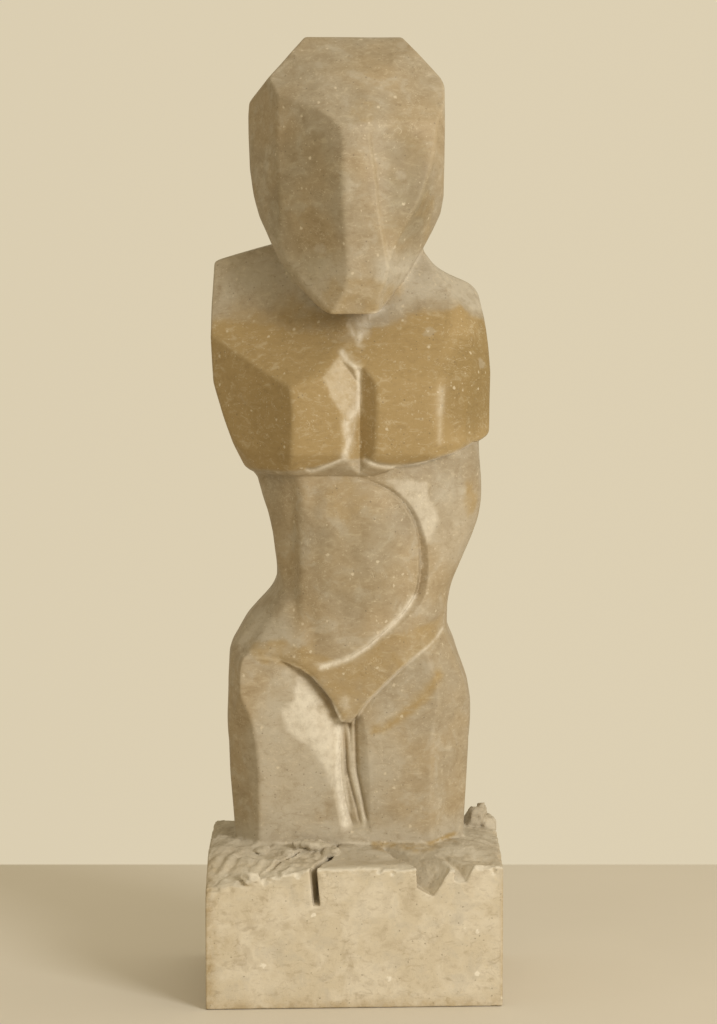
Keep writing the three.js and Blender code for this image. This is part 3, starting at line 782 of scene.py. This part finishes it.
def streak(line, width):
    gap, _ = along(np.array(line, float), x, h)
    return np.exp(-(gap / width) ** 2) * forward


grey_line = np.interp(x, [-75, -20, 2.5, 10, 20, 28, 43, 54, 66, 75],
                      [273, 269, 263, 268, 272, 275, 276, 276.5, 272, 262])
pec_line = np.interp(x, [-60, -24, -5, 6, 23, 43, 60, 75], [195, 197, 203, 202, 199, 203, 209.5, 214])
above_line = smooth(pec_line - 1, pec_line + 2.5, h)
chest_stain = above_line * smooth(4, -4, drift_h - grey_line + 0.5)
left_stain = 0.7 * above_line * smooth(292, 268, drift_h) * smooth(8, -6, x)
ochre = np.maximum(chest_stain, left_stain)
ochre = patches(ochre, [(4, 286, 24, 13, 0.5), (36, 320, 5, 20, 0.42), (5, 378, 12, 6, 0.35),
                        (-4, 181, 15, 11, 0.45), (60, 180, 5, 12, 0.6), (-38, 104, 20, 8, 0.6)])
wedge = smooth(2.0, -2.0, drawn(np.array([[-52, 101], [-20, 104], [-5, 98.5], [6, 105], [14, 112], [44, 120],
                                          [42, 108], [30, 100], [22, 93], [13, 84], [3, 70], [-6, 68],
                                          [-11, 76], [-20, 89], [-30, 96]], float), x, h)) * forward
ochre = np.maximum(ochre, 0.62 * wedge)
ochre = np.maximum(ochre, 0.8 * streak([[10.5, 63], [18, 66], [28, 73], [37, 81], [43, 92]], 3.2))
ochre = np.maximum(ochre, 0.9 * streak([[10, 3], [28, 2.5], [36, 2.5], [52, 6]], 1.8))
ochre = np.maximum(ochre, 0.4 * smooth(-70, -74, x) * smooth(0, -4, h))
stain_behind = 0.5
ochre = ochre * (stain_behind + (1 - stain_behind) * forward)

grey = 0.9 * smooth(2, 7, drift_h - grey_line) * smooth(6, 14, x) * smooth(312, 300, h)
grey = np.maximum(grey, 0.7 * smooth(18, 8, drift_h) * smooth(-3, 2, h))
grey = np.maximum(grey, 0.55 * smooth(262, 290, drift_h) * smooth(8, -6, x) * smooth(312, 300, h))
grey = patches(grey, [(14, 50, 12, 28, 0.5), (-34, 45, 22, 50, 0.65), (-46, 112, 20, 14, 0.6),
                      (52, 170, 16, 26, 0.45)])
# Painted shade: darker brown patches on the head's left and right faces, the side planes of the chest and the
# belly
painted_shade = patches(np.zeros(len(x)), [
    (-22, 332, 20, 44, 0.45), (26, 340, 13, 34, 0.55), (60, 240, 18, 24, 0.65), (70, 262, 10, 20, 0.5),
    (4, 150, 24, 30, 0.30), (-40, 225, 16, 26, 0.25)])

bruise_and_highlight = np.zeros(len(x))
for line, width, strength in [
        ([[3.3, 264.1], [4.3, 270.3], [8.9, 276.6], [13.9, 278]], 1.3, 0.8),
        (under_right_pec, 1.0, 0.8), (under_left_pec, 0.9, 0.7),
        ([[-6.3, 257], [-3, 252], [1.9, 249], [2, 230], [-3.5, 222]], 1.6, 0.75),
        ([[-4.5, 222], [-2.5, 212], [-5, 205]], 2.0, 0.7),
        (belly_arc[24:], 1.5, 0.9), ([[-4.6, 78.5], [-3.9, 75.5]], 2.6, 0.45),
        (right_groin, 0.8, 0.5), (left_groin[12:], 1.1, 0.5),
        ([[-8.5, 66], [-8.5, 40], [-4.5, 14]], 2.6, 0.95),
        ([[-2.5, 62], [-1.2, 41], [3, 20], [5, 13]], 1.5, 0.75),
        # The two streaks down the right pectoral bevel are a painted highlight
        ([[-3.3, 270], [2.6, 262], [1.4, 232]], 0.9, 0.5), ([[43.5, 239], [42.9, 226]], 1.8, 0.34),
        ([[42.9, 226], [42.7, 212]], 1.3, 0.22)]:
    bruise_and_highlight = np.maximum(bruise_and_highlight, strength * streak(line, width))
# Painted highlight, partly lighter stone too: the left thigh's inner facet and the flank facet are whitened;
# the lip beside the V is whitened by rasp marks
thigh_highlight_facet = np.array([[-27.5, 91], [-17.5, 77.5], [-10.5, 67], [-8.5, 55], [-12, 32], [-16.5, 44],
                         [-22, 54], [-31, 60], [-38.5, 71.5], [-31, 80]], float)
sternum_lip = np.array([[-6.3, 257], [-16.6, 244], [-11.9, 235], [-4.3, 222], [-5.5, 206], [-2.5, 206],
                        [1.5, 222], [2.4, 250]], float)
flank_highlight_facet = np.array([[18, 192], [36.7, 192], [37.2, 183], [43, 171], [38, 160], [30.5, 173.5], [24, 184]],
                       float)
for outline, strength in ((thigh_highlight_facet, 0.62), (sternum_lip, 0.34), (flank_highlight_facet, 0.42)):
    rasp_and_highlight = smooth(1.0, -1.2, drawn(outline, x + 0.4 * (drift_x - x), h + 0.4 * (drift_h - h)))
    bruise_and_highlight = np.maximum(bruise_and_highlight, strength * rasp_and_highlight * forward)
rough = smooth(0.25, 0.5, outward[:, 2]) * smooth(9, 4, h) * smooth(-16, -10, h)
knobs = smooth(3.0, 0.5, lumps_standing(x, y, h)) * smooth(-10, -6, h)
rough = np.maximum(rough, knobs)
front_gap = y + plinth_depth / 2 - plinth_skew * (x / plinth_width + 0.5)
edge_break = smooth(7, 1, front_gap) * smooth(-13, -6, h) * smooth(0.15, 0.4, outward[:, 2])
bruise_and_highlight = np.maximum(bruise_and_highlight, 0.85 * edge_break * smooth(8, 3, h))
rough_rim = smooth(17, 4, front_gap) * smooth(-13, -6, h) * smooth(8, 3, h) * smooth(0.25, 0.6, outward[:, 2])
bruise_and_highlight = np.maximum(bruise_and_highlight, 0.55 * rough_rim * smooth(-12, -16, x))
bruise_and_highlight = np.maximum(bruise_and_highlight, 0.35 * rough * smooth(-0.1, 0.5, uneven(x, y, h, 6, 61)))
chip = np.hypot((x + 52.5) / 6, (y + 61) / 6)
bruise_and_highlight = np.maximum(bruise_and_highlight, 0.7 * knobs * smooth(1.2, 0.8, chip))
# Roundness of the skin: convex arrises get a painted highlight from it
arris = np.clip(roundness * 0.9, -1, 1)

stone_mesh = net_mesh("carved_stone", places * [mm, mm, mm], rings)
for name, values in (("ochre", ochre), ("grey", grey), ("painted_shade", painted_shade), ("bruise_and_highlight", bruise_and_highlight),
                     ("broken", rough), ("arris", arris)):
    layer = stone_mesh.attributes.new(name, "FLOAT", "POINT")
    layer.data.foreach_set("value", np.asarray(values, np.float32))
stone_mesh.polygons.foreach_set("use_smooth", np.ones(len(stone_mesh.polygons), bool))
stone_mesh.normals_split_custom_set_from_vertices(outward.astype(np.float32))
carved = bpy.data.objects.new("carved_stone", stone_mesh)
put_in_scene(carved)

# Surface of the stone
# Rubbed down but not polished: a dull sheen on the flats, pale shell specks, fine dark
# veins and pits, scratches from the rasp, and a matt crumbly grain where it was broken.
limestone = bpy.data.materials.new("fossil_limestone")
limestone.use_nodes = True
tree = limestone.node_tree
shader = tree.nodes["Principled BSDF"]


def node(kind, **settings):
    made = tree.nodes.new("ShaderNode" + kind)
    for key, value in settings.items():
        setattr(made, key, value)
    return made


def feed(socket, value):
    if isinstance(value, bpy.types.NodeSocket):
        tree.links.new(value, socket)
    else:
        socket.default_value = value


def noise(size_mm, detail=3.0, rough_share=0.55, stretch=(1, 1, 1), bend=0.0):
    """Grain of about that size in the stone, from 0 to 1."""
    spread = node("Mapping")
    tree.links.new(stone_place, spread.inputs["Vector"])
    spread.inputs["Scale"].default_value = stretch
    grain = node("TexNoise")
    feed(grain.inputs["Vector"], spread.outputs["Vector"])
    feed(grain.inputs["Scale"], 1.0 / (size_mm * mm))
    feed(grain.inputs["Detail"], detail)
    feed(grain.inputs["Roughness"], rough_share)
    feed(grain.inputs["Distortion"], bend)
    return grain.outputs["Fac"]


def step(value, low, high, to_low=0.0, to_high=1.0):
    band = node("MapRange", interpolation_type="SMOOTHSTEP")
    feed(band.inputs["Value"], value)
    feed(band.inputs["From Min"], low)
    feed(band.inputs["From Max"], high)
    feed(band.inputs["To Min"], to_low)
    feed(band.inputs["To Max"], to_high)
    return band.outputs["Result"]


def sum_up(operation, one, other, clamp=False):
    maths = node("Math", operation=operation, use_clamp=clamp)
    feed(maths.inputs[0], one)
    feed(maths.inputs[1], other)
    return maths.outputs["Value"]


def tint(base, colour, amount, blend="MIX"):
    mixer = node("Mix", data_type="RGBA", blend_type=blend)
    feed(mixer.inputs["Factor"], amount)
    feed(mixer.inputs["A"], base)
    feed(mixer.inputs["B"], colour)
    return mixer.outputs["Result"]


def fleck(base, hue, where, strength):
    """That hue laid over the base wherever the mark is, at that strength."""
    return tint(base, hue, sum_up("MULTIPLY", where, strength))


def laid(name):
    return node("Attribute", attribute_name=name).outputs["Fac"]


def shell_specks(size_mm, share, sharp):
    """Bits of shell of that size, in that share of the cells."""
    ruffle = node("TexNoise")
    feed(ruffle.inputs["Vector"], stone_place)
    feed(ruffle.inputs["Scale"], 1.0 / (size_mm * mm))
    shift = node("VectorMath", operation="MULTIPLY_ADD")
    feed(shift.inputs[0], ruffle.outputs["Color"])
    shift.inputs[1].default_value = (size_mm * mm * 1.2,) * 3
    feed(shift.inputs[2], stone_place)
    cells_of = node("TexVoronoi")
    feed(cells_of.inputs["Vector"], shift.outputs["Vector"])
    feed(cells_of.inputs["Scale"], 0.33 / (size_mm * mm))
    near_middle = step(cells_of.outputs["Distance"], sharp, sharp * 0.55)
    picked = node("SeparateColor")
    feed(picked.inputs["Color"], cells_of.outputs["Color"])
    return sum_up("MULTIPLY", near_middle, step(picked.outputs["Red"], 1 - share, 1 - share * 0.8))


stone_place = node("TexCoord").outputs["Object"]
warm_buff = (0.372, 0.290, 0.178, 1)
cool_buff = (0.348, 0.288, 0.198, 1)
iron_ochre = (0.345, 0.245, 0.110, 1)
pale_grey = (0.455, 0.405, 0.315, 1)
white_bruise_and_highlight = (0.76, 0.70, 0.58, 1)
shell_white = (0.58, 0.50, 0.36, 1)
painted_shade_tint = (0.66, 0.63, 0.50, 1)
brown_vein = (0.20, 0.135, 0.06, 1)
dark_pit = (0.13, 0.10, 0.065, 1)
plinth_buff = (0.545, 0.470, 0.340, 1)
plinth_pale = (0.610, 0.540, 0.415, 1)

colour = tint(cool_buff, warm_buff, step(noise(38, 2.5), 0.36, 0.64))
height_in_block = node("SeparateXYZ")
feed(height_in_block.inputs["Vector"], stone_place)
in_plinth = step(height_in_block.outputs["Z"], (plinth_height + 2) * mm, (plinth_height - 4) * mm)
plinth_tone = tint(plinth_buff, plinth_pale, step(noise(17, 4.0, 0.6, bend=0.4), 0.42, 0.62))
across_block = height_in_block.outputs["X"]
low_edge = step(height_in_block.outputs["Z"], 9 * mm, -3 * mm)
left_edge = step(across_block, -66 * mm, -76 * mm)
right_edge = step(across_block, 72.5 * mm, 75.5 * mm)
edges = sum_up("MAXIMUM", sum_up("MAXIMUM", low_edge, left_edge), right_edge)
edges = sum_up("MULTIPLY", edges, step(noise(6, 4.0, 0.6), 0.30, 0.62, 0.1, 0.75))
plinth_tone = tint(plinth_tone, iron_ochre, edges)
colour = tint(colour, plinth_tone, in_plinth)
colour = tint(colour, pale_grey, laid("grey"))
cloud = noise(12, 5.0, 0.62, bend=0.5)
colour = fleck(colour, pale_grey, step(cloud, 0.48, 0.68), 0.50)
colour = fleck(colour, brown_vein, step(cloud, 0.50, 0.32), 0.24)
stain = sum_up("ADD", laid("ochre"), sum_up("MULTIPLY", sum_up("SUBTRACT", noise(7, 4.0), 0.5), 0.7))
colour = tint(colour, iron_ochre, step(stain, 0.10, 0.95))
smear = noise(4.5, 5.0, 0.65, stretch=(0.8, 0.8, 1.5), bend=0.8)
colour = fleck(colour, shell_white, step(smear, 0.52, 0.70), 0.30)
colour = fleck(colour, brown_vein, step(smear, 0.48, 0.30), 0.28)
dashes = noise(1.2, 3.0, 0.6, stretch=(0.6, 0.6, 1.4), bend=0.4)
colour = fleck(colour, shell_white, step(dashes, 0.62, 0.69), 0.34)
colour = fleck(colour, brown_vein, step(dashes, 0.38, 0.30), 0.16)
# Painted shade: the darker patches are multiplied into the colour here
colour = tint(colour, painted_shade_tint, laid("painted_shade"), "MULTIPLY")
scratch_place = noise(22, 2.0)
line_of_vein = sum_up("ABSOLUTE", sum_up("SUBTRACT", noise(11, 4.0, 0.6, bend=1.5), 0.5), 0)
light_lines = sum_up("MULTIPLY", step(line_of_vein, 0.010, 0.002), step(scratch_place, 0.50, 0.62))
colour = fleck(colour, shell_white, light_lines, 0.40)
dark_lines = sum_up("MULTIPLY", step(line_of_vein, 0.007, 0.001), step(scratch_place, 0.46, 0.36))
colour = fleck(colour, brown_vein, dark_lines, 0.35)
colour = fleck(colour, shell_white, shell_specks(1.4, 0.12, 0.24), 0.70)
colour = fleck(colour, shell_white, shell_specks(0.6, 0.16, 0.26), 0.50)
colour = fleck(colour, pale_grey, shell_specks(4.5, 0.10, 0.30), 0.35)
chips = sum_up("MULTIPLY", shell_specks(2.1, 0.10, 0.26), in_plinth)
colour = fleck(colour, white_bruise_and_highlight, chips, 0.75)
colour = fleck(colour, dark_pit, shell_specks(0.7, 0.12, 0.24), 0.50)
fine_grain = noise(1.1, 4.0, 0.65)
colour = fleck(colour, dark_pit, step(fine_grain, 0.56, 0.78), 0.22)
# Painted highlight: the convex arrises are lightened a little
arris_highlight = step(laid("arris"), 0.08, 0.6)
colour = fleck(colour, shell_white, arris_highlight, 0.12)
crushed = noise(4, 5.0, 0.65)
# White rasp bruises together with the painted highlights on the pectoral bevel and the thigh and flank facets
bruised_and_highlit = sum_up("MULTIPLY", laid("bruise_and_highlight"), step(crushed, 0.30, 0.62, 0.55, 1.0))
colour = tint(colour, white_bruise_and_highlight, bruised_and_highlit)
dusty = sum_up("MULTIPLY", laid("broken"), step(noise(4, 4.0), 0.35, 0.65, 0.15, 0.55))
colour = tint(colour, pale_grey, dusty)
feed(shader.inputs["Base Color"], colour)

sheen_on_flats = step(noise(12, 3.0), 0.35, 0.70, 0.54, 0.70)
dulled = sum_up("MAXIMUM", laid("broken"), laid("bruise_and_highlight"))
feed(shader.inputs["Roughness"], sum_up("ADD", sheen_on_flats, sum_up("MULTIPLY", dulled, 0.35), clamp=True))
shader.inputs["Specular IOR Level"].default_value = 0.26


def bump(height, depth_mm, strength, over=None):
    made = node("Bump")
    made.inputs["Distance"].default_value = depth_mm * mm
    feed(made.inputs["Strength"], strength)
    feed(made.inputs["Height"], height)
    if over:
        feed(made.inputs["Normal"], over)
    return made.outputs["Normal"]


relief = bump(sum_up("ADD", fine_grain, noise(0.45, 2.0)), 0.25, 0.22)
relief = bump(noise(6, 3.0), 0.6, 0.30, relief)
relief = bump(noise(1.5, 5.0, 0.7), 0.8, sum_up("MULTIPLY", dulled, 0.55), relief)
feed(shader.inputs["Normal"], relief)
stone_mesh.materials.append(limestone)

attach(carved, "root")
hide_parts("stone_torso")

# Floor
# A plain pale board that the stone stands on: painted matt and slightly uneven in tone.
# Its back edge is 24 cm behind the plinth, where the floor ends in the view.
board_side = 3.0
board_front = 2.6
board_back = 0.308
board_level = -0.0002
board_dark = (0.66, 0.61, 0.52, 1)
board_pale = (0.70, 0.65, 0.56, 1)
board_corners = [(-board_side, -board_front), (board_side, -board_front),
                 (board_side, board_back), (-board_side, board_back)]
board_mesh = bpy.data.meshes.new("floor")
board_mesh.from_pydata([(*corner, board_level) for corner in board_corners], [], [(0, 1, 2, 3)])
board = bpy.data.objects.new("floor", board_mesh)
put_in_scene(board)
pale = bpy.data.materials.new("floor_pale")
pale.use_nodes = True
tree = pale.node_tree
paint = tree.nodes["Principled BSDF"]
stone_place = node("TexCoord").outputs["Object"]
feed(paint.inputs["Base Color"], tint(board_dark, board_pale, noise(120, 3.0)))
paint.inputs["Roughness"].default_value = 0.75
board_mesh.materials.append(pale)

# Light
# A soft square lamp a little to the right of the camera, in a room of warm pale light.
# The room is a shade darker on the viewer's left, as in the studio.
room = bpy.data.worlds.new("room")
room.use_nodes = True
bpy.context.scene.world = room
room_light = room.node_tree.nodes["Background"]
room_light.inputs["Strength"].default_value = 1.0
tree = room.node_tree
side = node("SeparateXYZ")
feed(side.inputs["Vector"], node("TexCoord").outputs["Generated"])
room_shade = (0.55, 0.478, 0.342, 1)
room_pale = (0.72, 0.627, 0.45, 1)
feed(room_light.inputs["Color"], tint(room_shade, room_pale, step(side.outputs["X"], -0.85, 0.05)))
aimed_at = 0.25


def soft_light(name, azimuth, elevation, distance, width, power, colour):
    light = bpy.data.lights.new(name, "AREA")
    light.shape = "RECTANGLE"
    light.size = width
    light.size_y = width
    light.energy = power
    light.color = colour
    lamp = bpy.data.objects.new(name, light)
    turn = math.radians(azimuth)
    rise = math.radians(elevation)
    lamp.location = (distance * math.sin(turn) * math.cos(rise), -distance * math.cos(turn) * math.cos(rise),
                     aimed_at + distance * math.sin(rise))
    lamp.rotation_euler = (math.pi / 2 - rise, 0, turn)
    put_in_scene(lamp)


soft_light("key", azimuth=36, elevation=17, distance=2.2, width=0.7, power=31, colour=(1.0, 0.98, 0.95))

# Camera
# On the photograph's line of sight, level with the brow and looking a little down. It is
# a long lens, which keeps the plinth's sides almost square on.
camera_place = (2, -1902, 441.5)
looking_down = 5.882
lens_in_pixels = 3715
frame_height = 1024
sensor = 36.0
camera_data = bpy.data.cameras.new("camera")
camera_data.sensor_width = sensor
camera_data.lens = lens_in_pixels / frame_height * sensor
camera_data.clip_end = 20
camera = bpy.data.objects.new("camera", camera_data)
camera.location = [along_axis * mm for along_axis in camera_place]
camera.rotation_euler = (math.radians(90 - looking_down), 0, 0)
put_in_scene(camera)
bpy.context.scene.camera = camera
bpy.context.scene.view_settings.view_transform = "Standard"
